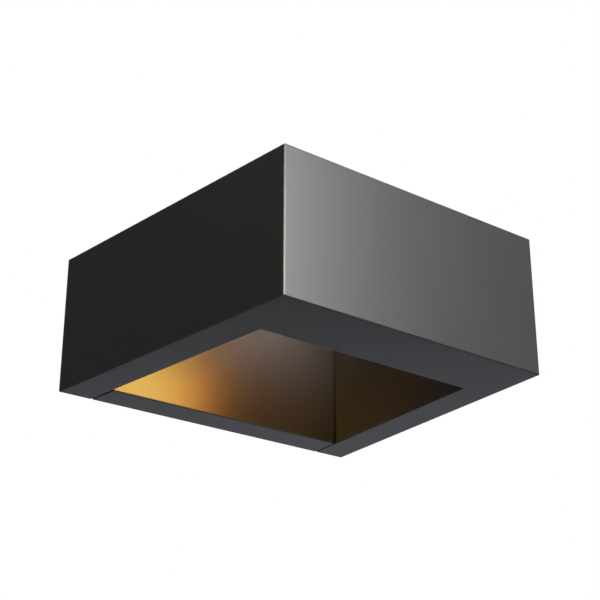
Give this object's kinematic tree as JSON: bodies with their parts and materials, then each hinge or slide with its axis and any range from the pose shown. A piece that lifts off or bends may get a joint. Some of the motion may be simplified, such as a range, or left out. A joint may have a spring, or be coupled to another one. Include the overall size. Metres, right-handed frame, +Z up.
{
  "type": "wall pack light",
  "caption": "Trapezoid wall downlight: a powder-coated casing round an open mouth lit from its front block, which pulls forward off a flush wall box.",
  "frame": {"origin": "middle of the wall-screw pattern, on the wall plane", "axes": "+X to the right of someone facing the wall, +Y into the wall, +Z up"},
  "size_m": [0.2, 0.18, 0.079],
  "materials": {
    "casing_coat": "satin graphite powder coat on cast aluminium",
    "seal_rubber": "matt moulded silicone",
    "seal_foam": "closed-cell foam sheet",
    "stainless": "plain stainless fastener",
    "frosted_glass": "acid-etched face",
    "tray_white": "moulded, highly reflective",
    "board_white": "white solder mask on a metal core",
    "led_phosphor": "warm phosphor under a clear lens",
    "bare_aluminium": "extruded",
    "driver_case": "moulded case, potted",
    "connector_plastic": "glass-filled nylon",
    "contact_brass": "machined",
    "terminal_plastic": "moulded",
    "zinc_steel": "zinc-plated sheet",
    "lead_brown": "insulation",
    "lead_blue": "insulation",
    "lead_earth": "green and yellow insulation",
    "lead_red": "insulation",
    "lead_black": "insulation"
  },
  "bodies": {
    "wall_side": {"wall_box": "casing_coat", "box_screws": "stainless", "locking_screws": "stainless", "wall_plate": "zinc_steel", "wall_gasket": "seal_foam", "cable_grommet": "seal_rubber", "locating_pins": "stainless", "socket_body": "connector_plastic", "socket_contacts": "contact_brass", "socket_screws": "stainless", "terminal_block": "terminal_plastic", "terminal_screws": "contact_brass", "terminal_block_screws": "stainless", "plate_earth_lug": "contact_brass", "plate_earth_screw": "stainless", "wall_live_lead": "lead_brown", "wall_neutral_lead": "lead_blue", "wall_earth_lead": "lead_earth", "plate_earth_lead": "lead_earth"},
    "casing": {"housing_shell": "casing_coat", "top_cover": "casing_coat", "cover_gasket": "seal_rubber", "window_gasket": "seal_rubber", "plug_seal": "seal_rubber", "vent_seal": "seal_rubber", "cover_screws": "stainless", "heat_sink_screws": "stainless", "driver_screws": "stainless", "plug_screws": "stainless", "casing_earth_screw": "stainless", "window_pane": "frosted_glass", "light_tray": "tray_white", "led_board": "board_white", "led_packages": "led_phosphor", "heat_sink": "bare_aluminium", "driver": "driver_case", "plug_body": "connector_plastic", "plug_contacts": "contact_brass", "casing_earth_lug": "contact_brass", "vent_plug": "connector_plastic", "casing_live_lead": "lead_brown", "casing_neutral_lead": "lead_blue", "casing_earth_lead": "lead_earth", "board_plus_lead": "lead_red", "board_minus_lead": "lead_black"}
  },
  "joints": [
    {"name": "casing_pull", "type": "slide", "parent": "wall_side", "child": "casing", "axis": [0, -1, 0], "range_m": [0, 0.06]}
  ]
}
